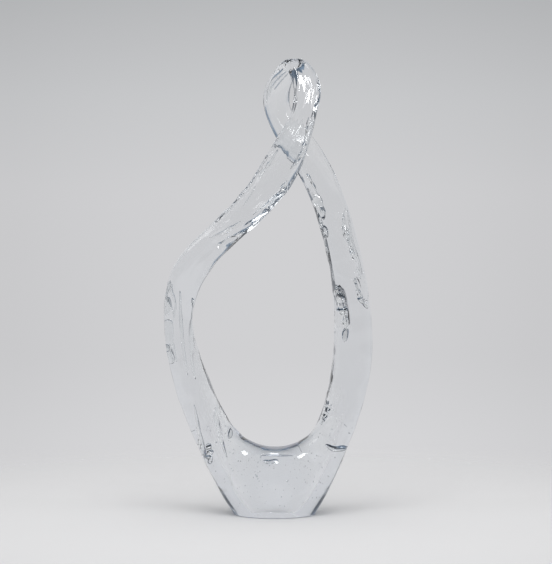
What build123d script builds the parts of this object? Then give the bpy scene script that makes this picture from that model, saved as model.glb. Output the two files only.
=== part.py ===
from build123d import *
import os
from math import cos, pi, radians, sin
from typing import NamedTuple
from numpy import interp

# Free-standing loop of clear hot-worked glass. A thick block with a ground foot carries two limbs round
# a tall opening. The left limb bends over into a flat ribbon, which passes in front of the right limb,
# rolls over at the crown and comes down behind. The flat of the ribbon is turned a little about its own
# centre line. The glass is made in lengths that meet at hot seals.
# Millimetres and degrees. X runs to the right and Y to the back as the loop is seen from the front, Z is
# up, and the origin is the middle of the foot. Widths are as they are seen from the front.

# Base block
FOOT_LENGTH = 53.0  # ground foot, along X
FOOT_GRIND = 10.0  # glass ground away under the block, which leaves the flat
FOOT_TUCK = 8.0  # how far in the sides come over the depth that is ground away
BLOCK_DEPTH = 48.0  # front to back, at the middle
SADDLE_HEIGHT = 43.2  # foot to the lowest point of the opening
SADDLE_X = 0.5

# Limb roots, where the limbs leave the block
ROOT_WIDTH = 25.4
ROOT_DEPTH = 28.0
ROOT_HEIGHT = 51.8
LEFT_ROOT_X = -38.9
RIGHT_ROOT_X = 37.8

# Left limb and its bend
LEFT_REACH = 63.8  # centre line to the middle of the foot, at its widest
LEFT_REACH_HEIGHT = 131.0
LEFT_LIMB_WIDTH = 19.8
LEFT_LIMB_DEPTH = 19.0
LEFT_LIMB_TURN = -8.0  # outer edge turned to the front
LEFT_LIMB_BOW = 5.0  # outwards from a straight line to the root
BEND_WIDTH = 22.4
BEND_DEPTH = 18.0
BEND_BOW = 6.0  # outwards from a straight line to the shoulder
SHOULDER_X = -39.5
SHOULDER_RISE = 48.0  # above the widest point of the left limb
SHOULDER_WIDTH = 20.2
SHOULDER_DEPTH = 15.0
SHOULDER_TURN = 10.0  # inner edge turned to the front
SHOULDER_FORWARD = 4.0

# Right limb
RIGHT_REACH = 51.6
RIGHT_REACH_HEIGHT = 111.0
RIGHT_LIMB_WIDTH = 26.0
RIGHT_LIMB_DEPTH = 19.0
RIGHT_LIMB_TURN = 8.0  # inner edge turned to the front
RIGHT_LIMB_BOW = 10.0  # outwards from a straight line to the crossing
RIGHT_LIMB_BACK = 2.0
RIGHT_NECK_WIDTH = 22.4
RIGHT_NECK_DEPTH = 14.0

# Ribbon and its crossing
RIBBON_WIDTH = 22.0
RIBBON_THICKNESS = 10.5
FRONT_RIBBON_WIDTH = 23.4  # at the middle of the front ribbon
FRONT_RIBBON_TURN = 22.0  # inner edge turned to the front
FRONT_RIBBON_BOW = 5.0  # below a straight line from the shoulder to the crossing
REAR_RIBBON_TURN = 18.0  # inner edge turned to the front
REAR_RIBBON_BOW = 3.5  # outwards from a straight line to the right limb
CROSSING_X = 14.0
CROSSING_STEP = 5.0  # sideways, from the front ribbon to the rear one
CROSSING_DEPTH = 19.5  # front to rear ribbon, centre to centre
CROSSING_RISE = 64.0  # above the shoulder
CROSSING_FRONT_TURN = 16.0
CROSSING_REAR_TURN = 10.0

# Curl over the top
CURL_RISE = 56.0  # top of the crown above the crossing
CURL_DEPTH = 25.5  # front to rear, centre to centre
CURL_WIDTH = 18.0
CURL_THICKNESS = 9.0
CURL_REAR_RISE = 31.0  # furthest back, above the crossing
CURL_REAR_LEFT = 11.3  # from the crown
CURL_REAR_TURN = 14.0
CURL_FRONT_RISE = 19.2  # furthest forward, above the crossing
CURL_FRONT_RIGHT = 6.5  # from the crown
CURL_FRONT_TURN = 8.0
BROW_RISE = 38.5  # front of the curl where it leans back, above the crossing
BROW_RIGHT = 8.0  # from the crown
BROW_FORWARD = 9.6
NAPE_RISE = 44.5  # back of the curl where it leans forward, above the crossing
NAPE_LEFT = 7.4  # from the crown
NAPE_BACK = 8.0
CROWN_LEFT = 1.8  # middle of the crown, left of the crossing

EDGE_SHARE = 0.42  # rolled edge radius as a share of the thinner side of the glass
BLOCK_EDGE_SHARE = 0.47  # the same, on the underside of the block
SADDLE_EDGE_SHARE = 0.28  # the same, at the rim of the saddle
SEEN_SHARE = 0.35  # share of a turned slice's depth that shows beside its face
BLOCK_SLICES = 12
LIMB_SLICES = 8
CURL_SLICES = 14


class Station(NamedTuple):
    point: Vector
    width: float
    depth: float
    turn: float


# Places along the centre line

def bowed(start, end, bow):
    """The middle of a line, moved off it in the front plane to the right of its direction."""
    along = Vector(end.X - start.X, 0, end.Z - start.Z).normalized()
    return (start + end) / 2 + Vector(along.Z, 0, -along.X) * bow


shoulder_height = LEFT_REACH_HEIGHT + SHOULDER_RISE
crossing_height = shoulder_height + CROSSING_RISE
crown_height = crossing_height + CURL_RISE - CURL_THICKNESS / 2
crown_x = CROSSING_X - CROWN_LEFT

left_root = Vector(LEFT_ROOT_X, 0, ROOT_HEIGHT)
left_reach = Vector(-LEFT_REACH, 0, LEFT_REACH_HEIGHT)
left_limb_middle = bowed(left_root, left_reach, -LEFT_LIMB_BOW)
shoulder = Vector(SHOULDER_X, -SHOULDER_FORWARD, shoulder_height)
bend = bowed(left_reach, shoulder, -BEND_BOW)
front_crossing = Vector(CROSSING_X - CROSSING_STEP / 2, -CROSSING_DEPTH / 2, crossing_height)
front_middle = bowed(shoulder, front_crossing, FRONT_RIBBON_BOW)
front_bulge = Vector(crown_x + CURL_FRONT_RIGHT, -CURL_DEPTH / 2, crossing_height + CURL_FRONT_RISE)
brow = Vector(crown_x + BROW_RIGHT, -BROW_FORWARD, crossing_height + BROW_RISE)
crown = Vector(crown_x, 0, crown_height)
nape = Vector(crown_x - NAPE_LEFT, NAPE_BACK, crossing_height + NAPE_RISE)
rear_bulge = Vector(crown_x - CURL_REAR_LEFT, CURL_DEPTH / 2, crossing_height + CURL_REAR_RISE)
rear_crossing = Vector(CROSSING_X + CROSSING_STEP / 2, CROSSING_DEPTH / 2, crossing_height)
right_reach = Vector(RIGHT_REACH, RIGHT_LIMB_BACK, RIGHT_REACH_HEIGHT)
right_neck = bowed(right_reach, rear_crossing, RIGHT_LIMB_BOW)
rear_middle = bowed(right_neck, rear_crossing, REAR_RIBBON_BOW)
right_root = Vector(RIGHT_ROOT_X, 0, ROOT_HEIGHT)

# Centre line from the right root, over the crown and down to the left root
with BuildLine() as loop_line:
    Spline(
        right_root,
        right_reach,
        right_neck,
        rear_middle,
        rear_crossing,
        rear_bulge,
        nape,
        crown,
        brow,
        front_bulge,
        front_crossing,
        front_middle,
        shoulder,
        bend,
        left_reach,
        left_limb_middle,
        left_root,
    )
centre_line = loop_line.edges()[0]

# Stations where the glass has a given width, depth and turn
at_right_root = Station(right_root, ROOT_WIDTH, ROOT_DEPTH, 0)
at_right_reach = Station(right_reach, RIGHT_LIMB_WIDTH, RIGHT_LIMB_DEPTH, RIGHT_LIMB_TURN)
at_right_neck = Station(right_neck, RIGHT_NECK_WIDTH, RIGHT_NECK_DEPTH, REAR_RIBBON_TURN)
at_rear_middle = Station(rear_middle, RIBBON_WIDTH, RIBBON_THICKNESS, REAR_RIBBON_TURN)
at_rear_crossing = Station(rear_crossing, RIBBON_WIDTH, RIBBON_THICKNESS, CROSSING_REAR_TURN)
at_rear_bulge = Station(rear_bulge, CURL_WIDTH, CURL_THICKNESS, CURL_REAR_TURN)
at_crown = Station(crown, CURL_WIDTH, CURL_THICKNESS, 0)
at_front_bulge = Station(front_bulge, CURL_WIDTH, CURL_THICKNESS, CURL_FRONT_TURN)
at_front_crossing = Station(front_crossing, RIBBON_WIDTH, RIBBON_THICKNESS, CROSSING_FRONT_TURN)
at_front_middle = Station(front_middle, FRONT_RIBBON_WIDTH, RIBBON_THICKNESS, FRONT_RIBBON_TURN)
at_shoulder = Station(shoulder, SHOULDER_WIDTH, SHOULDER_DEPTH, SHOULDER_TURN)
at_bend = Station(bend, BEND_WIDTH, BEND_DEPTH, 0)
at_left_reach = Station(left_reach, LEFT_LIMB_WIDTH, LEFT_LIMB_DEPTH, LEFT_LIMB_TURN)
at_left_root = Station(left_root, ROOT_WIDTH, ROOT_DEPTH, 0)


# Slices across the glass

def slice_of_glass(place, width, depth, low_share=EDGE_SHARE, high_share=EDGE_SHARE):
    """A flat band with rolled edges, its width along the plane's x."""
    half_width = width / 2
    half_depth = depth / 2
    low_edge = low_share * min(width, depth)
    high_edge = high_share * min(width, depth)
    corners = [
        (-half_width, -half_depth),
        (half_width, -half_depth),
        (half_width, half_depth),
        (-half_width, half_depth),
    ]
    with BuildSketch(place) as band:
        with BuildLine():
            FilletPolyline(*corners, radius=[low_edge, high_edge, high_edge, low_edge], close=True)
        make_face()
    return band.sketch


def slice_at(at, width, depth, turn=0.0, side=1):
    """A slice square to the centre line, its width near X and then turned about the line."""
    forward = centre_line % at
    level = (Vector(1, 0, 0) - forward * forward.X).normalized()
    lean = radians(turn)
    across = level * cos(lean) + forward.cross(level) * sin(lean)
    own_width = (width - SEEN_SHARE * depth * abs(sin(lean))) / cos(lean)
    return slice_of_glass(Plane(centre_line @ at, across * side, forward), own_width, depth)


def eased(start, end, share):
    """A value between two others, level at both ends."""
    return start + (end - start) * (1 - cos(pi * share)) / 2


def bunched(count):
    """Shares from 0 to 1, closer together at the ends, which keeps the skin between slices even."""
    return [eased(0, 1, step / count) for step in range(count + 1)]


def draw_out(*stations, count=LIMB_SLICES):
    """Glass along the centre line from the first station to the last, at their widths, depths and turns."""
    places = [centre_line.param_at_point(station.point) for station in stations]
    widths = [station.width for station in stations]
    depths = [station.depth for station in stations]
    turns = [station.turn for station in stations]
    slices = []
    for share in bunched(count):
        at = places[0] + (places[-1] - places[0]) * share
        width = interp(at, places, widths)
        depth = interp(at, places, depths)
        slices.append(slice_at(at, width, depth, interp(at, places, turns)))
    loft(slices)


# Base block, between the saddle of the opening above and the underside below

left_root_lean = centre_line % 1
right_root_lean = centre_line % 0
left_across = Vector(0, 1, 0).cross(left_root_lean) * ROOT_WIDTH / 2
right_across = Vector(0, 1, 0).cross(right_root_lean) * ROOT_WIDTH / 2
left_foot = Vector(-FOOT_LENGTH / 2, 0, 0)
right_foot = Vector(FOOT_LENGTH / 2, 0, 0)

with BuildLine() as saddle_line:
    Spline(
        left_root - left_across,
        Vector(SADDLE_X, 0, SADDLE_HEIGHT),
        right_root - right_across,
        tangents=[left_root_lean, right_root_lean],
    )
with BuildLine() as underside_line:
    Spline(
        left_root + left_across,
        left_foot,
        left_foot + Vector(FOOT_TUCK, 0, -FOOT_GRIND),
        right_foot + Vector(-FOOT_TUCK, 0, -FOOT_GRIND),
        right_foot,
        right_root + right_across,
        tangents=[left_root_lean, right_root_lean],
    )
saddle = saddle_line.edges()[0]
underside = underside_line.edges()[0]


def block_slices():
    """The slices of the block, from the left root under the opening to the right root."""
    slices = [slice_at(1, ROOT_WIDTH, ROOT_DEPTH)]
    for share in bunched(BLOCK_SLICES)[1:-1]:
        upper = saddle @ share
        lower = underside @ share
        across = upper - lower
        forward = Vector(0, 1, 0).cross(across)
        depth = eased(ROOT_DEPTH, BLOCK_DEPTH, 2 * share)
        low_share = eased(EDGE_SHARE, BLOCK_EDGE_SHARE, 2 * share)
        high_share = eased(EDGE_SHARE, SADDLE_EDGE_SHARE, 2 * share)
        place = Plane((upper + lower) / 2, across, forward)
        slices.append(slice_of_glass(place, across.length, depth, low_share, high_share))
    slices.append(slice_at(0, ROOT_WIDTH, ROOT_DEPTH, side=-1))
    return slices


with BuildPart() as base_block:
    loft(block_slices())
    split(bisect_by=Plane.XY, keep=Keep.TOP)

# Lengths of the loop, from the right root over the crown to the left root

with BuildPart() as right_limb:
    draw_out(at_right_root, at_right_reach, at_right_neck)

with BuildPart() as rear_ribbon:
    draw_out(at_right_neck, at_rear_middle, at_rear_crossing, at_rear_bulge)

with BuildPart() as crown_curl:
    draw_out(at_rear_bulge, at_crown, at_front_bulge, count=CURL_SLICES)

with BuildPart() as front_ribbon:
    draw_out(at_front_bulge, at_front_crossing, at_front_middle, at_shoulder)

with BuildPart() as shoulder_bend:
    draw_out(at_shoulder, at_bend, at_left_reach)

with BuildPart() as left_limb:
    draw_out(at_left_reach, at_left_root)

pieces = {
    "base_block": base_block,
    "right_limb": right_limb,
    "rear_ribbon": rear_ribbon,
    "crown_curl": crown_curl,
    "front_ribbon": front_ribbon,
    "shoulder_bend": shoulder_bend,
    "left_limb": left_limb,
}

os.makedirs("parts", exist_ok=True)
for name, piece in pieces.items():
    piece.part.label = name
    export_step(piece.part, f"parts/{name}.step")
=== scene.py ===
from math import pi, radians, sqrt
import bmesh
import bpy
import numpy as np
from mathutils import Matrix, Vector


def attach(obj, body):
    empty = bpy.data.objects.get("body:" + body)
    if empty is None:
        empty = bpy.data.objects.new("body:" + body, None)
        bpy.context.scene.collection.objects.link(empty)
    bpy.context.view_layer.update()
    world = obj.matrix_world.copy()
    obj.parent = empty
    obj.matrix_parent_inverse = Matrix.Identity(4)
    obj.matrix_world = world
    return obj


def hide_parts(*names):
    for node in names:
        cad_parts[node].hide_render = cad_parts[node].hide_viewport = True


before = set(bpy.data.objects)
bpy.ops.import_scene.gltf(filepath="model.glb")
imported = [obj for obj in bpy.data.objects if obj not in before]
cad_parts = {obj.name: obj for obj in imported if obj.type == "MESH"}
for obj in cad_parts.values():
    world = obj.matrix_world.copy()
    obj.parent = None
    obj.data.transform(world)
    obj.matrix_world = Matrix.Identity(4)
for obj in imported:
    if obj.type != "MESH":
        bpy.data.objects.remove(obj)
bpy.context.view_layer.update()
scene = bpy.context.scene
mm = 0.001
allLengths = sorted(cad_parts)
print("frame loaded:", len(allLengths), "lengths of glass")


def linear(hexColour):  # sRGB hex to linear RGBA
    channels = [int(hexColour[i:i + 2], 16) / 255 for i in (1, 3, 5)]
    return [c / 12.92 if c <= 0.04045 else ((c + 0.055) / 1.055) ** 2.4 for c in channels] + [1.0]


# One node with its settings. Its inputs are values or links, by socket name, or as _0, _1 by socket number.
def addNode(tree, kind, settings=None, **inputs):
    node = tree.nodes.new(kind)
    for name, value in (settings or {}).items():
        setattr(node, name, value)
    for name, value in inputs.items():
        socket = node.inputs[int(name[1:]) if name.startswith("_") else name.replace("_", " ")]
        if isinstance(value, bpy.types.NodeSocket):
            tree.links.new(value, socket)
        else:
            socket.default_value = value
    return node


# Camera, level with the middle of the loop
view = {
    "distance": 1000.0,
    "height": 152.5,
    "right": 0.66,
    "sensor": 36.0,
    "focalPixels": 1515.0,
    "framePixels": 564.0,  # the longer side of the photograph
}
cameraData = bpy.data.cameras.new("camera")
cameraData.sensor_width = view["sensor"]
cameraData.lens = view["sensor"] * view["focalPixels"] / view["framePixels"]
camera = bpy.data.objects.new("camera", cameraData)
camera.location = Vector((view["right"], -view["distance"], view["height"])) * mm
camera.rotation_euler = (radians(90), 0, 0)
scene.collection.objects.link(camera)
scene.camera = camera
scene.view_settings.view_transform = "Standard"
print("camera set, lens", round(cameraData.lens, 1), "mm")


# Glass loop: one mass of hot glass drawn out, bent over and brought back to its own base.
# A station is an edge of the band as seen from the front and the other edge. Going round once, each edge
# comes back as the other one, because the band turns over at the crown.
# A section is a place counted in stations, then depth, twist in degrees, how flat the faces and the sides
# are, how high the drawn streaks and the slow waves of the surface stand, and how much tighter the edge
# towards the opening is rolled than the outer one.
# A tool mark is the face it is on, its path to the right and up, half its width, its depth (below 0 it
# stands out), and the distance between crests where it is crinkled. An air line is a bubble that was drawn
# out with the glass: its path, half its width and depth, its tilt, and the distance between crests.
loop = {
    "colour": "#fdfefe",
    "ior": 1.52,
    "tint": "#c9d6ef",
    "tintDensity": 4.0,
    "rings": 540,
    "segments": 128,  # points round a ring
    "ringPace": [(0, 0.8), (8, 0.8), (10, 2.2), (13, 2.0), (14, 1.0), (22, 0.8)],  # closer at the curl
    "paceSteps": 4000,  # steps round the loop in which that pace is counted
    "stations": [
        ((0.5, 0.0, 43.2), (0.0, 0.0, -26.0)),  # 0 middle of the block
        ((8.0, 0.0, 44.2), (19.6, 0.0, -9.5)),  # 1 right of the foot
        ((15.0, 0.0, 46.8), (32.2, 0.0, 9.5)),  # 2 right of the block
        ((26.2, 0.2, 57.1), (49.4, -0.2, 46.5)),  # 3 right root
        ((38.6, 2.0, 111.5), (64.6, 2.0, 110.5)),  # 4 right limb, widest
        ((32.8, 5.4, 177.0), (54.6, 5.6, 182.2)),  # 5 right neck
        ((23.1, 7.3, 208.3), (43.5, 7.2, 217.0)),  # 6 rear ribbon
        ((7.2, 8.6, 237.3), (25.8, 10.4, 248.7)),  # 7 behind the crossing
        ((-8.0, 12.5, 274.6), (9.8, 12.5, 273.4)),  # 8 back of the curl
        ((-3.6, 4.5, 290.0), (13.5, 10.0, 287.5)),  # 9 back of the crown
        ((4.8, -6.0, 295.7), (19.6, 4.2, 295.4)),  # 10 crown
        ((12.2, -9.4, 281.0), (29.2, -7.4, 282.0)),  # 11 brow of the curl
        ((9.8, -13.0, 261.5), (27.6, -13.0, 263.0)),  # 12 front of the curl
        ((1.6, -10.6, 247.6), (21.4, -9.4, 238.4)),  # 13 in front of the crossing
        ((-19.1, -7.3, 215.3), (-1.1, -7.7, 200.4)),  # 14 front ribbon
        ((-46.5, -4.7, 186.3), (-32.5, -3.3, 171.7)),  # 15 shoulder
        ((-66.9, -2.5, 162.9), (-47.1, -1.5, 152.5)),  # 16 bend
        ((-73.7, 0.0, 131.4), (-53.9, 0.0, 130.6)),  # 17 left limb, widest
        ((-66.7, 0.0, 86.0), (-45.5, 0.0, 93.8)),  # 18 left limb
        ((-52.0, 0.2, 46.0), (-27.5, -0.2, 57.4)),  # 19 left root
        ((-33.4, 0.0, 9.5), (-14.5, 0.0, 46.8)),  # 20 left of the block
        ((-20.4, 0.0, -9.5), (-7.5, 0.0, 44.2)),  # 21 left of the foot
    ],
    "sections": [
        (0.0, 51.0, 0, 2.5, 2.2, 0.00, 0.02, 2.2),
        (1.0, 41.0, 0, 2.6, 2.2, 0.00, 0.02, 1.8),
        (2.0, 34.0, 0, 2.4, 2.1, 0.00, 0.06, 1.3),
        (3.0, 28.0, 4, 2.8, 2.4, 0.02, 0.12, 1.0),
        (4.0, 19.0, 8, 3.2, 2.8, 0.03, 0.12, 1.0),
        (5.0, 14.0, 16, 3.4, 2.8, 0.04, 0.12, 1.0),
        (6.0, 11.0, 18, 3.4, 3.0, 0.05, 0.12, 1.0),
        (6.6, 8.6, 8, 1.5, 1.4, 0.03, 0.06, 1.0),
        (7.0, 6.6, 4, 1.2, 1.15, 0.01, 0.04, 1.0),
        (7.6, 6.6, 4, 1.2, 1.15, 0.01, 0.03, 1.0),
        (8.0, 7.4, 4, 1.25, 1.2, 0.01, 0.03, 1.0),
        (8.5, 9.5, 14, 1.5, 1.3, 0.03, 0.02, 1.0),
        (9.0, 9.5, 20, 1.5, 1.3, 0.05, 0.00, 1.0),
        (9.6, 9.0, 14, 1.8, 1.6, 0.04, 0.00, 1.0),
        (10.0, 8.5, 6, 2.8, 2.6, 0.01, 0.00, 1.0),
        (10.5, 8.5, 2, 2.8, 2.6, 0.06, 0.00, 1.0),
        (11.0, 9.0, 0, 3.2, 2.8, 0.22, 0.00, 1.0),
        (12.0, 10.0, 8, 3.2, 2.8, 0.20, 0.01, 1.0),
        (13.0, 11.0, 16, 3.2, 2.8, 0.04, 0.06, 1.0),
        (13.5, 11.5, 20, 3.4, 3.0, 0.05, 0.08, 1.0),
        (14.0, 12.0, 22, 3.4, 3.0, 0.07, 0.12, 1.0),
        (14.6, 13.0, 20, 3.4, 3.0, 0.06, 0.14, 1.0),
        (15.0, 15.0, 10, 3.4, 3.0, 0.04, 0.12, 1.0),
        (16.0, 18.0, 0, 3.2, 2.8, 0.03, 0.10, 1.0),
        (17.0, 19.0, -8, 3.2, 2.8, 0.03, 0.12, 1.0),
        (18.0, 22.0, 4, 3.2, 2.8, 0.03, 0.12, 1.0),
        (19.0, 28.0, 6, 2.8, 2.4, 0.02, 0.12, 1.0),
        (20.0, 34.0, 0, 2.4, 2.1, 0.00, 0.06, 1.3),
        (21.0, 41.0, 0, 2.6, 2.2, 0.00, 0.02, 1.8),
    ],
    "sectionBlend": 7.0,  # rings over which one section eases into the next
    "outlineShare": 0.35,  # how much of a twisted section's depth shows beside its face
    "rimOnSides": 0.6,  # how much of an edge's tighter roll its sides take part in
    "openingMiddle": (0.0, 0.0, 125.0),
    "streakSize": (110.0, 2.8, 2.8),  # along, across and through the band
    "waveSize": (20.0, 11.0, 11.0),
    "footBevel": 2.0,
    "footBevelSteps": 3,
    "groundHeight": 0.1,  # a face lower than this that faces down is the ground one
    "groundTilt": -0.999,
    "marks": [
        # shoulder
        ("front", [(-35.0, 179.5), (-19.8, 185.5)], 1.0, 1.2, 0),
        ("front", [(-40.0, 180.0), (-37.6, 176.5), (-33.0, 177.0)], 1.4, 1.6, 0),
        ("front", [(-37.0, 175.6), (-23.8, 181.8)], 0.9, -0.7, 0),
        ("front", [(-28.0, 194.0), (-46.9, 180.8)], 0.9, -0.8, 0),
        ("front", [(-32.0, 189.4), (-42.6, 183.3)], 0.8, -0.6, 0),
        ("front", [(-28.5, 188.4), (-37.0, 181.0)], 0.9, -0.8, 0),
        # front ribbon
        ("front", [(-0.7, 240.0), (-9.2, 227.7), (-14.5, 219.8)], 1.8, 0.4, 4.0),
        ("front", [(2.8, 246.0), (-7.2, 231.6), (-17.8, 214.0), (-31.4, 199.0), (-44.6, 185.4)], 0.8, 0.9, 0),
        ("back", [(-3.0, 236.0), (-13.0, 221.0), (-24.0, 206.0), (-38.0, 191.0)], 0.9, 1.8, 0),
        ("front", [(7.0, 217.0), (6.0, 212.5), (1.3, 208.6)], 1.2, -1.0, 0),
        ("front", [(6.0, 212.0), (-4.6, 200.0)], 1.0, 1.2, 0),
        ("front", [(-6.0, 206.6), (-15.6, 198.0)], 0.9, -0.8, 0),
        ("front", [(-3.3, 199.7), (-9.2, 197.3)], 0.9, -0.8, 0),
        ("front", [(-7.9, 200.6), (-13.2, 194.7)], 0.8, -0.8, 0),
        ("front", [(-24.4, 188.4), (-14.5, 194.7)], 0.9, -0.8, 0),
        ("front", [(-19.0, 190.7), (-13.2, 191.7)], 1.0, 1.2, 0),
        # right limb
        ("front", [(19.0, 226.4), (29.0, 210.0), (29.7, 188.0), (34.3, 165.7)], 1.8, 0.4, 5.0),
        ("front", [(39.9, 159.7), (48.2, 154.4)], 0.8, -0.6, 0),
        ("front", [(46.0, 201.0), (46.4, 187.0), (50.0, 173.0), (55.0, 153.0)], 3.2, 0.32, 6.0),
        ("back", [(42.0, 151.0), (45.0, 139.0), (47.6, 121.0)], 1.3, 2.4, 0),
        ("back", [(51.0, 158.0), (53.4, 148.0), (56.4, 141.0), (60.4, 134.0)], 1.1, 2.2, 0),
        # roots
        ("front", [(37.0, 72.0), (28.4, 58.7)], 3.6, 0.5, 3.0),
    ],
    "markSpots": 40,  # spots along a mark from which a distance to it is taken
    "markEnds": 4,  # how suddenly a mark ends
    "markTurn": 3,  # how suddenly it stops where the face turns to the side
    "airLines": [
        # crown
        (
            [(-5.6, 11.5, 272.0), (-4.6, 10.5, 280.0), (-0.6, 5.2, 288.6), (6.0, -2.5, 293.8)],
            1.3, 0.35, -45, 0,
        ),
        (
            [(-3.4, 11.5, 276.0), (-2.2, 10.0, 282.0), (1.6, 5.6, 287.4), (7.6, -1.2, 292.4)],
            1.1, 0.35, -45, 0,
        ),
        ([(-0.6, 11.0, 281.0), (3.6, 7.6, 286.4), (8.6, 1.0, 291.0)], 1.0, 0.35, -45, 0),
        # front ribbon
        ([(2.6, -9.6, 239.0), (-4.6, -8.6, 228.0), (-11.0, -7.6, 218.4)], 0.9, 0.6, 20, 6.0),
        ([(-12.4, -7.6, 215.0), (-15.5, -7.4, 209.0), (-20.0, -7.0, 202.0)], 0.45, 0.4, 0, 0),
        (
            [(21.6, -12.0, 260.0), (19.8, -10.6, 246.0), (16.2, -9.4, 235.0), (10.2, -8.8, 226.0)],
            0.8, 0.6, 0, 5.0,
        ),
        ([(7.6, -8.6, 219.0), (4.5, -8.4, 211.5), (-3.0, -8.0, 204.0)], 1.3, 0.5, -15, 6.0),
        ([(2.0, -8.4, 211.0), (-6.0, -8.0, 203.0), (-14.0, -7.4, 196.5)], 0.9, 0.5, -10, 0),
        ([(-22.0, -6.4, 192.0), (-30.0, -5.6, 186.6), (-43.0, -4.8, 181.4)], 0.9, 0.5, -40, 0),
        ([(-20.0, -6.2, 187.0), (-29.0, -5.4, 182.4), (-38.0, -4.8, 177.2)], 1.2, 0.6, -35, 7.0),
        # left limb
        (
            [(-67.4, 0.0, 160.0), (-70.4, 0.0, 150.0), (-67.6, 0.0, 138.0), (-70.0, 0.0, 127.0)],
            0.8, 0.5, 0, 0,
        ),
        (
            [(-65.4, 1.0, 158.0), (-67.6, 1.0, 147.0), (-65.2, 1.0, 137.0), (-67.0, 1.0, 125.0)],
            0.7, 0.5, 0, 0,
        ),
        ([(-66.4, -1.0, 152.0), (-69.2, -1.0, 142.0), (-66.4, -1.0, 130.0)], 0.6, 0.4, 0, 0),
        ([(-68.8, -2.0, 128.0), (-69.0, -2.0, 118.0), (-68.4, -2.0, 107.0)], 2.8, 0.8, 0, 0),
        ([(-68.4, 0.0, 112.0), (-67.4, 0.0, 106.0), (-65.2, 0.0, 99.0)], 1.6, 0.6, 0, 0),
        ([(-66.2, 3.0, 112.0), (-65.4, 3.0, 106.0), (-63.8, 3.0, 100.0)], 0.7, 0.5, 0, 0),
        (
            [(-62.6, -1.0, 147.0), (-62.4, -1.0, 126.0), (-60.6, -1.0, 107.6), (-57.0, -1.0, 91.0)],
            1.2, 1.2, 0, 0,
        ),
        (
            [(-56.4, 0.0, 143.0), (-58.0, 0.0, 126.0), (-56.6, 0.0, 108.0), (-52.6, 0.0, 88.0)],
            0.8, 0.9, 0, 0,
        ),
        # right limb
        ([(42.0, 2.0, 151.0), (45.0, 2.0, 139.0), (47.4, 2.0, 120.0)], 1.5, 0.9, 20, 7.0),
        ([(47.6, 5.0, 122.0), (46.0, -2.0, 113.0)], 1.5, 0.6, 0, 0),
        ([(51.5, 4.0, 154.5), (53.4, 4.0, 147.0), (55.4, 4.0, 140.5), (59.6, 3.5, 134.5)], 1.4, 0.9, 20, 6.0),
        (
            [
                (46.4, 5.0, 202.0), (44.0, 5.0, 189.0), (47.4, 5.0, 181.0),
                (51.0, 4.5, 171.0), (56.2, 4.0, 154.0),
            ],
            0.9, 0.5, 0, 7.0,
        ),
        (
            [
                (47.4, 5.5, 200.0), (48.8, 5.5, 190.0), (50.2, 5.5, 180.0),
                (54.2, 5.0, 168.0), (56.6, 4.5, 157.0),
            ],
            0.8, 0.5, 0, 0,
        ),
        ([(45.4, 4.5, 197.0), (46.8, 4.5, 188.0), (49.6, 4.5, 175.0)], 0.6, 0.4, 0, 0),
        ([(46.8, 6.0, 188.0), (51.6, 5.5, 171.0)], 1.6, 0.6, 20, 0),
        ([(21.5, 7.4, 224.5), (28.6, 7.0, 211.0), (33.2, 6.5, 192.0), (37.6, 5.6, 168.0)], 1.5, 0.7, 20, 6.0),
        # roots and base
        ([(-52.6, 0.0, 72.0), (-49.0, 0.0, 58.0), (-41.5, 0.0, 36.0)], 0.9, 1.0, 0, 0),
        ([(-42.2, 0.0, 79.0), (-40.8, 0.0, 62.0), (-35.4, 0.0, 48.5), (-31.0, 0.0, 37.0)], 1.1, 1.2, 0, 0),
        ([(-42.8, -2.0, 47.0), (-41.6, -4.0, 40.5), (-40.6, -7.0, 34.0)], 1.8, 0.7, 0, 4.0),
        ([(-31.5, -2.0, 54.5), (-30.5, -7.0, 49.0)], 1.6, 0.7, 0, 0),
        ([(39.8, 3.0, 73.0), (35.4, -2.0, 65.5), (31.6, -6.0, 58.0)], 1.7, 0.5, 0, 4.0),
        ([(32.8, -2.0, 45.5), (38.0, -2.0, 42.6), (46.0, -2.0, 46.0)], 2.2, 0.6, -46, 0),
        ([(-9.2, -12.0, 38.2), (1.5, -12.5, 37.4), (11.9, -12.0, 38.4)], 0.45, 0.45, 0, 0),
        ([(-7.5, -14.0, 35.4), (-3.0, -14.0, 34.4), (1.8, -14.0, 35.4)], 1.4, 0.5, -47, 0),
        ([(-11.8, -8.0, 26.5), (-9.8, -8.0, 24.8)], 0.5, 0.4, 0, 0),
    ],
    "airRings": 37,
    "airSides": 16,
    "airTaper": 2.4,  # how suddenly an air line ends
    "airSwell": 0.3,  # how much a crinkled one swells, as a share of its size
    "airSwellMost": 2,  # where that is cut off
    "airSway": 0.14,  # how far it sways to the back and front, as a share of the distance between crests
    "seeds": 260,
    "seedRadius": (0.10, 0.30),
    "seedStretch": 1.4,
    "seedHeights": (3.0, 62.0),  # lowest place of a seed, and highest middle of the glass that has seeds
    "seedsAcross": (-0.7, 0.75),  # shares of half the width and half the depth of the band
    "seedsThrough": (-0.7, 0.7),
    "randomSeeds": {"streaks": 101, "waves": 102, "seeds": 7, "airSwell": 300, "airSway": 400},
}


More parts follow.
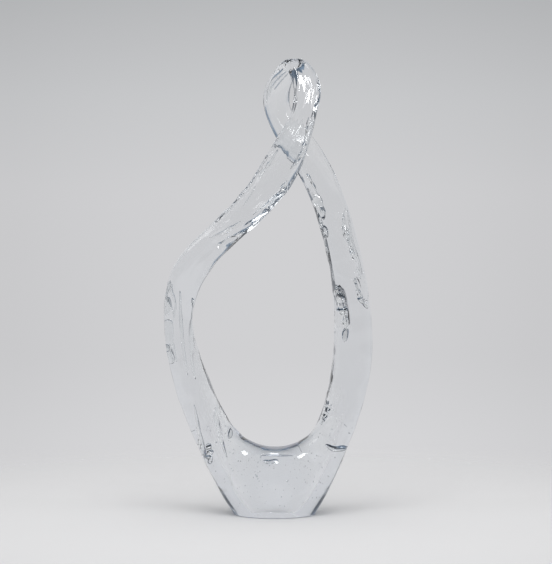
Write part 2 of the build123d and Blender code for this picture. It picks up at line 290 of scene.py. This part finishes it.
def closedSpline(knots, period, values, at):  # smooth closed curve through values at knots
    count = len(knots)
    gaps = np.diff(np.append(knots, period))
    bends = np.zeros((count, count))
    pulls = np.zeros_like(values)
    for i in range(count):
        before, after = gaps[i - 1], gaps[i]
        bends[i, i - 1] += before
        bends[i, i] += 2 * (before + after)
        bends[i, (i + 1) % count] += after
        rise = (values[(i + 1) % count] - values[i]) / after
        pulls[i] = 6 * (rise - (values[i] - values[i - 1]) / before)
    curves = np.linalg.solve(bends, pulls)
    at = np.mod(at, period)
    i = np.searchsorted(knots, at, side="right") - 1
    nextOne = (i + 1) % count
    gap = gaps[i][:, None]
    ahead = (at - knots[i])[:, None] / gap
    behind = 1 - ahead
    bow = ((behind ** 3 - behind) * curves[i] + (ahead ** 3 - ahead) * curves[nextOne]) * gap ** 2 / 6
    return behind * values[i] + ahead * values[nextOne] + bow


def sectionsRound(piece, numbers):  # depth, twist and shape at each ring, eased into each other
    rows = np.array(piece["sections"], float)
    count = len(piece["stations"])
    columns = [np.interp(numbers, rows[:, 0], column, period=count) for column in rows[:, 1:].T]
    shape = np.stack(columns, axis=1)
    reach = np.arange(-len(numbers) // 2, len(numbers) // 2)
    weight = np.exp(-((reach / piece["sectionBlend"]) ** 2))
    weight = np.roll(weight / weight.sum(), len(numbers) // 2)
    return np.fft.ifft(np.fft.fft(shape, axis=0) * np.fft.fft(weight)[:, None], axis=0).real


def bandRings(piece):  # for each ring its place along the loop, centre, half width, half depth and the rest
    edges = np.array([one for one, other in piece["stations"]])
    others = np.array([other for one, other in piece["stations"]])
    middles = (edges + others) / 2
    steps = np.linalg.norm(np.roll(middles, -1, axis=0) - middles, axis=1)
    turn = steps.sum()
    knots = np.append(0, np.cumsum(steps)[:-1])
    rows = np.vstack([edges, others])
    lengths = np.linspace(0, turn, piece["paceSteps"])
    numbers = np.interp(lengths, np.append(knots, turn), np.arange(len(knots) + 1))
    passed = np.cumsum(np.interp(numbers, *zip(*piece["ringPace"])))
    passed -= passed[0]
    at = np.interp(np.linspace(0, passed[-1], piece["rings"], endpoint=False), passed, lengths)
    one = closedSpline(np.append(knots, knots + turn), 2 * turn, rows, at)
    other = closedSpline(np.append(knots, knots + turn), 2 * turn, rows, at + turn)
    numbers = np.interp(at, np.append(knots, turn), np.arange(len(knots) + 1))
    depth, twist, *rest = sectionsRound(piece, numbers).T[:, :, None]
    centres = (one + other) / 2
    across = other - one
    along = np.roll(centres, -1, axis=0) - np.roll(centres, 1, axis=0)
    through = np.cross(across, along)
    outline = np.linalg.norm(across, axis=1, keepdims=True)
    across /= outline
    through /= np.linalg.norm(through, axis=1, keepdims=True)
    twist = np.radians(twist)
    width = (outline - piece["outlineShare"] * depth * np.abs(np.sin(twist))) / np.cos(twist)
    halves = (across * np.cos(twist) - through * np.sin(twist)) * width / 2
    faces = (through * np.cos(twist) + across * np.sin(twist)) * depth / 2
    return at, centres, halves, faces, rest


def bandShare(piece, turns, flat, sideFlat, rim, inner):  # shares of both halves at each point of each ring
    farOut, halvings = 2.0, 40  # the outline is found by halving the way to a point outside it
    across, through = np.abs(np.cos(turns)), np.abs(np.sin(turns))
    tighter = np.where(np.cos(turns) * inner > 0, rim, 1.0)
    flat = flat * tighter
    sideFlat = sideFlat * (1 - piece["rimOnSides"] + piece["rimOnSides"] * tighter)
    low, high = np.zeros(flat.shape), np.full(flat.shape, farOut)
    for _ in range(halvings):
        middle = (low + high) / 2
        inside = (across * middle) ** flat + (through * middle) ** sideFlat < 1
        low = np.where(inside, middle, low)
        high = np.where(inside, high, middle)
    return np.cos(turns) * low, np.sin(turns) * low


def ripple(places, seed):  # seeded unevenness about zero, with a crest to about each unit of length
    waves, slowest, fastest = 20, 0.6, 1.4
    chance = np.random.default_rng(seed)
    ways = chance.normal(size=(waves, 3))
    pace = chance.uniform(slowest, fastest, (waves, 1))
    ways *= 2 * pi * pace / np.linalg.norm(ways, axis=1, keepdims=True)
    starts = chance.uniform(0, 2 * pi, waves)
    return np.sin(places @ ways.T + starts).sum(axis=-1) / sqrt(waves / 2)


def outward(points):  # directions away from the glass, one to each point of the rings
    half = points.shape[1] // 2
    after = np.concatenate([points[1:], np.roll(points[:1], half, axis=1)])
    before = np.concatenate([np.roll(points[-1:], half, axis=1), points[:-1]])
    around = np.roll(points, -1, axis=1) - np.roll(points, 1, axis=1)
    normals = np.cross(around, after - before)
    normals /= np.linalg.norm(normals, axis=2, keepdims=True)
    inside = points.mean(axis=1, keepdims=True)
    return normals * np.sign(((points - inside) * normals).sum(axis=(1, 2), keepdims=True))


def drawnOut(path, count):  # points along a path, with its corners eased
    easings = 20
    path = np.array(path, float)
    lengths = np.append(0, np.cumsum(np.linalg.norm(np.diff(path, axis=0), axis=1)))
    places = np.linspace(0, lengths[-1], count)
    spots = np.stack([np.interp(places, lengths, column) for column in path.T], axis=1)
    for _ in range(easings):
        spots[1:-1] = (spots[:-2] + 2 * spots[1:-1] + spots[2:]) / 4
    return spots


def markDepths(piece, points, normals):  # how far each point is pushed in by the tool marks
    farAway = 1e6
    nearer = view["distance"] / (view["distance"] + points[..., 1])
    seenX = view["right"] + (points[..., 0] - view["right"]) * nearer
    seenZ = view["height"] + (points[..., 2] - view["height"]) * nearer
    seen = np.stack([seenX, seenZ], axis=-1)
    pushed = np.zeros(points.shape[:2])
    for number, (side, path, halfWidth, depth, crests) in enumerate(piece["marks"]):
        facing = -normals[..., 1] if side == "front" else normals[..., 1]
        spots = drawnOut(path, piece["markSpots"])
        away = np.full(points.shape[:2], farAway)
        fade = np.zeros(points.shape[:2])
        for share, spot in zip(np.linspace(-1, 1, len(spots)), spots):
            gap = np.linalg.norm(seen - spot, axis=-1)
            fade = np.where(gap < away, 1 - share ** piece["markEnds"], fade)
            away = np.minimum(away, gap)
        push = depth * fade * np.exp(-((away / halfWidth) ** 2)) * np.clip(facing * piece["markTurn"], 0, 1)
        if crests:
            push = push * ripple(points / crests, number)
        pushed += push
    return pushed


def loopSurface(piece):  # points of every ring, with streaks, waves and tool marks
    at, centres, halves, faces, (flat, sideFlat, streak, wave, rim) = bandRings(piece)
    turns = np.arange(piece["segments"]) * 2 * pi / piece["segments"]
    inner = ((np.array(piece["openingMiddle"]) - centres) * halves).sum(axis=1, keepdims=True)
    across, through = bandShare(piece, turns, flat, sideFlat, rim, inner)
    points = centres[:, None] + halves[:, None] * across[..., None] + faces[:, None] * through[..., None]
    halfWidth = np.linalg.norm(halves, axis=1)[:, None] * across
    halfDepth = np.linalg.norm(faces, axis=1)[:, None] * through
    onBand = np.stack([np.broadcast_to(at[:, None], halfWidth.shape), halfWidth, halfDepth], axis=-1)
    streaks = streak * ripple(onBand / piece["streakSize"], piece["randomSeeds"]["streaks"])
    waves = wave * ripple(onBand / piece["waveSize"], piece["randomSeeds"]["waves"])
    normals = outward(points)
    return points + normals * (streaks + waves - markDepths(piece, points, normals))[..., None]


def rollUp(bm, points, hollow):  # a sheet rolled up along its length, as rings of points
    sameSpot = 0.0001 * mm
    rows, columns = points.shape[:2]
    others = set(bm.faces)
    sheet = bmesh.ops.create_grid(bm, x_segments=columns, y_segments=rows - 1, size=1.0)["verts"]
    for vert in sheet:
        row, column = round((vert.co.y + 1) / 2 * (rows - 1)), round((vert.co.x + 1) / 2 * columns)
        vert.co = points[row, column % columns]
    bmesh.ops.remove_doubles(bm, verts=sheet, dist=sameSpot)
    if hollow:
        skin = [face for face in bm.faces if face not in others]
        bmesh.ops.recalc_face_normals(bm, faces=skin)
        bmesh.ops.reverse_faces(bm, faces=skin)


def drawLoop(piece):  # the rolled-up sheet, with its ends brought together
    bm = bmesh.new()
    rollUp(bm, loopSurface(piece) * mm, False)
    bmesh.ops.bridge_loops(bm, edges=[edge for edge in bm.edges if edge.is_boundary])
    bmesh.ops.recalc_face_normals(bm, faces=bm.faces)
    return bm


def grindFoot(bm, piece):  # flat underside with a softened rim
    whole = bm.verts[:] + bm.edges[:] + bm.faces[:]
    cut = bmesh.ops.bisect_plane(bm, geom=whole, plane_co=(0, 0, 0), plane_no=(0, 0, -1), clear_outer=True)
    rim = [part for part in cut["geom_cut"] if isinstance(part, bmesh.types.BMEdge)]
    bmesh.ops.holes_fill(bm, edges=rim, sides=0)
    bmesh.ops.bevel(
        bm, geom=rim, offset=piece["footBevel"] * mm, offset_type="OFFSET", segments=piece["footBevelSteps"],
        profile=0.5, affect="EDGES", material=-1, clamp_overlap=True,
    )


def addSeeds(bm, piece):  # tiny closed bubbles in the thick glass, as hollows that face inwards
    chance = np.random.default_rng(piece["randomSeeds"]["seeds"])
    centres, halves, faces = bandRings(piece)[1:4]
    lowest, highest = piece["seedHeights"]
    stretch = Matrix.Diagonal((1, 1, piece["seedStretch"], 1))
    thick = np.flatnonzero(centres[:, 2] < highest)
    for _ in range(piece["seeds"]):
        ring = chance.choice(thick)
        place = centres[ring] + halves[ring] * chance.uniform(*piece["seedsAcross"])
        place = place + faces[ring] * chance.uniform(*piece["seedsThrough"])
        if place[2] < lowest:
            continue
        radius = chance.uniform(*piece["seedRadius"]) * mm
        spot = Matrix.Translation(place * mm) @ stretch
        bubble = bmesh.ops.create_icosphere(bm, subdivisions=1, radius=radius, matrix=spot)["verts"]
        bmesh.ops.reverse_faces(bm, faces=list({face for vert in bubble for face in vert.link_faces}))


def addAirLines(bm, piece):  # drawn-out bubbles, as tapered hollows that face inwards
    turns = (np.arange(piece["airSides"]) * 2 * pi / piece["airSides"])[None, :, None]
    ends = np.abs(np.linspace(-1, 1, piece["airRings"])) ** piece["airTaper"]
    taper = np.sqrt(np.maximum(0, 1 - ends))[:, None, None]
    most = piece["airSwellMost"]
    for number, (path, halfWidth, halfDepth, tilt, crests) in enumerate(piece["airLines"]):
        spots = drawnOut(path, piece["airRings"])
        along = np.gradient(spots, axis=0)
        along /= np.linalg.norm(along, axis=1, keepdims=True)
        level = np.cross(along, (0, 1, 0))
        level /= np.linalg.norm(level, axis=1, keepdims=True)
        upright = np.cross(along, level)
        lean = radians(tilt)
        across = level * np.cos(lean) + upright * np.sin(lean)
        through = upright * np.cos(lean) - level * np.sin(lean)
        ring = across[:, None] * halfWidth * np.cos(turns) + through[:, None] * halfDepth * np.sin(turns)
        if crests:
            swell = ripple((spots[:, None] + ring) / crests, piece["randomSeeds"]["airSwell"] + number)
            ring = ring * (1 + piece["airSwell"] * np.clip(swell, -most, most))[..., None]
            sway = ripple(spots / crests, piece["randomSeeds"]["airSway"] + number)
            spots[:, 1] += piece["airSway"] * crests * sway
        rollUp(bm, (spots[:, None] + ring * taper) * mm, True)


def polish(bm, piece):  # smooth shading, but flat on the ground face
    for face in bm.faces:
        low = face.calc_center_median().z < piece["groundHeight"] * mm
        face.smooth = not (low and face.normal.z < piece["groundTilt"])


def makePiece(name, bm, material):
    mesh = bpy.data.meshes.new(name)
    bm.to_mesh(mesh)
    bm.free()
    mesh.materials.append(material)
    made = bpy.data.objects.new(name, mesh)
    scene.collection.objects.link(made)
    return made


# Clear soda-lime glass, worked hot and fire polished: hardly any colour, a faint blue where it is thick
def clearGlass(piece):
    material = bpy.data.materials.new("clear_fire_polished_glass")
    material.use_nodes = True
    tree = material.node_tree
    tree.nodes.clear()
    shader = addNode(
        tree, "ShaderNodeBsdfPrincipled",
        Base_Color=linear(piece["colour"]), Roughness=0.0, IOR=piece["ior"], Transmission_Weight=1.0,
    )
    depthTint = addNode(
        tree, "ShaderNodeVolumeAbsorption", Color=linear(piece["tint"]), Density=piece["tintDensity"],
    )
    addNode(
        tree, "ShaderNodeOutputMaterial", Surface=shader.outputs["BSDF"], Volume=depthTint.outputs["Volume"],
    )
    return material


loopMesh = drawLoop(loop)
print("loop drawn:", len(loopMesh.faces), "faces")
grindFoot(loopMesh, loop)
print("foot ground")
addSeeds(loopMesh, loop)
addAirLines(loopMesh, loop)
polish(loopMesh, loop)
print("seeds and air lines set:", len(loopMesh.faces), "faces")
glassLoop = makePiece("glass_loop", loopMesh, clearGlass(loop))
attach(glassLoop, "root")
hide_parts(*allLengths)


# Floor: a round sheet of paper under the loop, fading into the room
floor = {
    "radius": 3000.0,
    "segments": 96,
    "drop": 0.3,  # how far it lies under the foot
    "paper": "#ebebec",
    "fadeFrom": 80.0,
    "fadeTo": 480.0,
}


# Pale uncoated paper, pressed smooth: matt, nearly white, with soft shadows
def palePaper(piece):
    material = bpy.data.materials.new("matt_pale_paper")
    material.use_nodes = True
    tree = material.node_tree
    tree.nodes.clear()
    place = addNode(tree, "ShaderNodeTexCoord")
    reach = addNode(tree, "ShaderNodeVectorMath", {"operation": "LENGTH"}, _0=place.outputs["Object"])
    fade = addNode(
        tree, "ShaderNodeMapRange", {"interpolation_type": "SMOOTHSTEP"},
        Value=reach.outputs["Value"], From_Min=piece["fadeFrom"] * mm, From_Max=piece["fadeTo"] * mm,
    )
    paper = addNode(tree, "ShaderNodeBsdfDiffuse", Color=linear(piece["paper"]))
    gone = addNode(tree, "ShaderNodeBsdfTransparent")
    mix = addNode(
        tree, "ShaderNodeMixShader",
        _0=fade.outputs["Result"], _1=paper.outputs["BSDF"], _2=gone.outputs["BSDF"],
    )
    addNode(tree, "ShaderNodeOutputMaterial", Surface=mix.outputs["Shader"])
    return material


floorMesh = bmesh.new()
bmesh.ops.create_circle(
    floorMesh, cap_ends=True, segments=floor["segments"], radius=floor["radius"] * mm,
)
bmesh.ops.translate(floorMesh, verts=floorMesh.verts, vec=(0, 0, -floor["drop"] * mm))
floorPiece = makePiece("floor", floorMesh, palePaper(floor))
print("floor laid")


# Room: a low pale sweep, higher behind the loop, with a narrow dark flag at each side and a dark front, and
# a dim bluish room above it. Heights are the rise of a sight line, 0 when level and 1 when straight up.
room = {
    "sweep": [  # by share of a half turn from straight behind the loop to straight in front of it
        (0.00, "#d2d2d4"), (0.31, "#d0d1d4"), (0.35, "#5c6066"), (0.39, "#5c6066"),
        (0.44, "#dcdee0"), (0.72, "#5c6066"), (1.00, "#2c2f34"),
    ],
    "aboveBehind": [  # by height
        (0.10, "#b4bac1"), (0.40, "#8f9cab"), (0.65, "#667587"), (0.88, "#4c5866"), (1.00, "#8093a8"),
    ],
    "aboveFront": [
        (0.10, "#0e1013"), (0.35, "#1c2127"), (0.60, "#3a444f"), (0.88, "#56636f"), (1.00, "#8093a8"),
    ],
    "aboveBlend": 0.4,  # how far to the front and back those two run into each other
    "sweepTop": 0.24,  # height at the sides where the sweep ends
    "sweepRise": 0.14,  # how much higher it ends behind, and lower in front
    "sweepFade": 0.10,
    "ground": "#d0d0d2",  # paper beyond the reach of the floor
    "groundFrom": -0.02,
    "groundTo": -0.12,
    "onPaper": "#cbcbcb",  # the even light of the room on the paper
    # painted shade: the backdrop the camera sees is painted darker towards the top, and the vignette below
    # dims it at the sides
    "seen": [  # what the camera sees, by height, with 0 straight down and 0.5 level
        (0.00, "#e4e4e4"), (0.40, "#dcdcdd"), (0.45, "#d6d6d8"), (0.475, "#d0d0d2"),
        (0.53, "#d0d0d2"), (0.560, "#c8c9cb"), (0.582, "#bebfc1"), (0.60, "#b4b6b8"),
    ],
    "vignette": "#f7f7f7",  # how much dimmer what the camera sees gets at the sides
    "vignetteReach": 0.17,
}


def roomColours(tree, piece, sight):  # the room's colour ramps, by name
    angle = addNode(
        tree, "ShaderNodeMath", {"operation": "ARCTAN2"}, _0=sight.outputs["X"], _1=sight.outputs["Y"],
    )
    side = addNode(tree, "ShaderNodeMath", {"operation": "ABSOLUTE"}, _0=angle.outputs["Value"])
    share = addNode(tree, "ShaderNodeMath", {"operation": "DIVIDE"}, _0=side.outputs["Value"], _1=pi)
    height = addNode(tree, "ShaderNodeMapRange", Value=sight.outputs["Z"], From_Min=-1.0, From_Max=1.0)
    measures = {
        "sweep": share.outputs["Value"],
        "aboveBehind": sight.outputs["Z"],
        "aboveFront": sight.outputs["Z"],
        "seen": height.outputs["Result"],
    }
    colours = {}
    for name, measure in measures.items():
        ramp = addNode(tree, "ShaderNodeValToRGB", Fac=measure)
        stops = ramp.color_ramp.elements
        while len(stops) < len(piece[name]):
            stops.new(0.5)
        for stop, (position, colour) in zip(stops, piece[name]):
            stop.position = position
            stop.color = linear(colour)
        colours[name] = ramp.outputs["Color"]
    return colours


def roomAround(tree, piece, sight, colours):  # what lights the glass and shows in it
    backward = addNode(
        tree, "ShaderNodeMapRange",
        Value=sight.outputs["Y"], From_Min=-piece["aboveBlend"], From_Max=piece["aboveBlend"],
    )
    above = addNode(
        tree, "ShaderNodeMix", {"data_type": "RGBA"},
        _0=backward.outputs["Result"], _6=colours["aboveFront"], _7=colours["aboveBehind"],
    )
    rise = addNode(
        tree, "ShaderNodeMath", {"operation": "MULTIPLY_ADD"},
        _0=sight.outputs["Y"], _1=-piece["sweepRise"], _2=sight.outputs["Z"],
    )
    past = addNode(
        tree, "ShaderNodeMapRange", {"interpolation_type": "SMOOTHSTEP"}, Value=rise.outputs["Value"],
        From_Min=piece["sweepTop"], From_Max=piece["sweepTop"] + piece["sweepFade"],
    )
    around = addNode(
        tree, "ShaderNodeMix", {"data_type": "RGBA"},
        _0=past.outputs["Result"], _6=colours["sweep"], _7=above.outputs[2],
    )
    below = addNode(
        tree, "ShaderNodeMapRange",
        Value=sight.outputs["Z"], From_Min=piece["groundFrom"], From_Max=piece["groundTo"],
    )
    grounded = addNode(
        tree, "ShaderNodeMix", {"data_type": "RGBA"},
        _0=below.outputs["Result"], _6=around.outputs[2], _7=linear(piece["ground"]),
    )
    return grounded.outputs[2]


def roomSeen(tree, piece, sight, colours):  # what the camera sees past the floor, with painted shade: darker towards the top and dimmer at the sides
    sideways = addNode(
        tree, "ShaderNodeMath", {"operation": "MULTIPLY"}, _0=sight.outputs["X"], _1=sight.outputs["X"],
    )
    away = addNode(
        tree, "ShaderNodeMapRange", Value=sideways.outputs["Value"], From_Max=piece["vignetteReach"] ** 2,
    )
    dimmed = addNode(
        tree, "ShaderNodeMix", {"data_type": "RGBA", "blend_type": "MULTIPLY"},
        _0=away.outputs["Result"], _6=colours["seen"], _7=linear(piece["vignette"]),
    )
    return dimmed.outputs[2]


def litRoom(piece):  # one room for the camera, one for the glass, and even light for the paper
    world = bpy.data.worlds.new("room")
    scene.world = world
    world.use_nodes = True
    tree = world.node_tree
    tree.nodes.clear()
    place = addNode(tree, "ShaderNodeTexCoord")
    sight = addNode(tree, "ShaderNodeSeparateXYZ", Vector=place.outputs["Generated"])
    colours = roomColours(tree, piece, sight)
    path = addNode(tree, "ShaderNodeLightPath")
    shown = addNode(
        tree, "ShaderNodeMix", {"data_type": "RGBA"}, _0=path.outputs["Is Camera Ray"],
        _6=roomAround(tree, piece, sight, colours), _7=roomSeen(tree, piece, sight, colours),
    )
    mirrored = addNode(
        tree, "ShaderNodeMath", {"operation": "MAXIMUM"},
        _0=path.outputs["Is Glossy Ray"], _1=path.outputs["Is Transmission Ray"],
    )
    looked = addNode(
        tree, "ShaderNodeMath", {"operation": "MAXIMUM"},
        _0=path.outputs["Is Camera Ray"], _1=mirrored.outputs["Value"],
    )
    lit = addNode(
        tree, "ShaderNodeMix", {"data_type": "RGBA"},
        _0=looked.outputs["Value"], _6=linear(piece["onPaper"]), _7=shown.outputs[2],
    )
    back = addNode(tree, "ShaderNodeBackground", Color=lit.outputs[2], Strength=1.0)
    addNode(tree, "ShaderNodeOutputWorld", Surface=back.outputs["Background"])


litRoom(room)
print("room lit")


# Softboxes: name, place and size in metres, power in watts. The strips show only in the glass, and the
# others only light the paper.
softboxes = [
    ("left_strip", (-0.82, -0.37, 1.01), (0.30, 0.4), 0.9),
    ("front_strip", (0.10, -0.98, 1.06), (0.42, 0.40), 6.8),
    ("right_strip", (0.80, -0.50, 1.00), (0.30, 0.5), 0.2),
    ("overhead", (0.0, -0.55, 1.20), (1.0, 0.7), 6.0),
    ("left_side", (-1.25, -0.30, 0.62), (0.14, 0.6), 0.8),
    ("right_side", (1.25, -0.30, 0.62), (0.14, 0.6), 0.8),
]
aim = Vector((0, 0, 0.12))  # about the middle of the opening
for name, place, size, power in softboxes:
    inGlass = name.endswith("strip")
    lamp = bpy.data.lights.new(name, "AREA")
    lamp.shape = "RECTANGLE"
    lamp.size, lamp.size_y = size
    lamp.energy = power
    lampObject = bpy.data.objects.new(name, lamp)
    lampObject.location = place
    lampObject.rotation_euler = (aim - lampObject.location).to_track_quat("-Z", "Y").to_euler()
    lampObject.visible_camera = False
    lampObject.visible_diffuse = not inGlass
    lampObject.visible_glossy = inGlass
    lampObject.visible_transmission = inGlass
    scene.collection.objects.link(lampObject)
print("softboxes:", len(softboxes))
